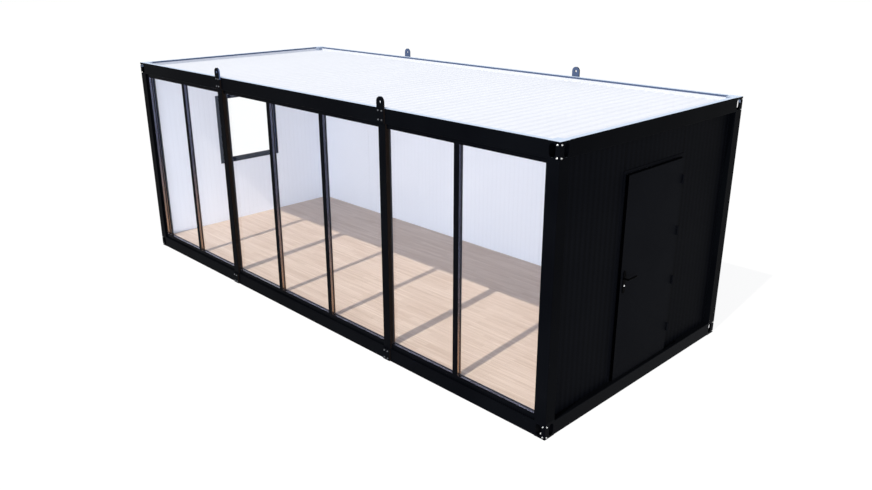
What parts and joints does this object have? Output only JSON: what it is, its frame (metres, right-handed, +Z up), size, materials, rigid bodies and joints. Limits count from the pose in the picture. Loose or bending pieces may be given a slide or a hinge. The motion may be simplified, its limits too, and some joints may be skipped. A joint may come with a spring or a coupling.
{
  "type": "office container",
  "caption": "Flat-roofed office container: black steel frame with slotted corner pieces, a fully glazed long side, insulated walls, a hinged end door, an end window and a ribbed roof.",
  "frame": {"origin": "on the ground, at the middle of the frame's plan", "axes": "+X along the long side towards the door end, -Y out of the glazed side, +Z up"},
  "size_m": [7.035, 3.03, 2.7099],
  "materials": {
    "frame_black": "satin",
    "wall_panel": "satin",
    "door_panel": "satin",
    "glazing_black": "gloss",
    "hardware_black": "satin",
    "roof_white": "satin",
    "ceiling_white": "satin",
    "oak_laminate": "satin",
    "floor_board": "matte",
    "galvanised": "satin",
    "threshold_metal": "satin",
    "window_slate": "satin",
    "bright_metal": "polished",
    "clear_glass": "gloss"
  },
  "bodies": {
    "root": {"bottom_rail_front": "frame_black", "bottom_rail_back": "frame_black", "bottom_rail_left": "frame_black", "bottom_rail_right": "frame_black", "top_rail_front": "frame_black", "top_rail_back": "frame_black", "top_rail_left": "frame_black", "top_rail_right": "frame_black", "corner_post_front_left": "frame_black", "corner_post_front_right": "frame_black", "corner_post_back_left": "frame_black", "corner_post_back_right": "frame_black", "bottom_corners": "frame_black", "top_corners": "frame_black", "front_mid_posts": "frame_black", "back_mid_posts": "frame_black", "lifting_lugs": "frame_black", "foot_plates": "frame_black", "floor_joists": "galvanised", "floor_deck": "floor_board", "floor_covering": "oak_laminate", "ceiling_panel": "ceiling_white", "roof_sheet": "roof_white", "back_wall": "wall_panel", "left_wall_sides": "wall_panel", "left_wall_under_window": "wall_panel", "left_wall_over_window": "wall_panel", "window_frame": "window_slate", "window_glass": "clear_glass", "right_wall_front_panel": "wall_panel", "right_wall_back_panel": "wall_panel", "right_wall_over_door": "wall_panel", "door_jambs": "frame_black", "door_head": "frame_black", "door_threshold": "threshold_metal", "hinge_frame_halves": "frame_black", "glazing_sills": "glazing_black", "glazing_heads": "glazing_black", "glazing_jambs": "glazing_black", "mullions": "glazing_black", "glass_panes": "clear_glass"},
    "door": {"door_leaf": "door_panel", "hinge_leaf_halves": "frame_black", "handle_plates": "hardware_black", "key_cylinder": "bright_metal"},
    "lever": {"lever_handle": "hardware_black"}
  },
  "joints": [
    {"name": "door_hinge", "type": "hinge", "parent": "root", "child": "door", "pos_m": [3.488, 0.47, 1.15], "axis": [0, 0, 1], "range_deg": [0, 160]},
    {"name": "lever_turn", "type": "hinge", "parent": "door", "child": "lever", "pos_m": [3.478, -0.408, 1.18], "axis": [-1, 0, 0], "range_deg": [0, 45], "stiffness_Nm_per_rad": 1.5}
  ]
}
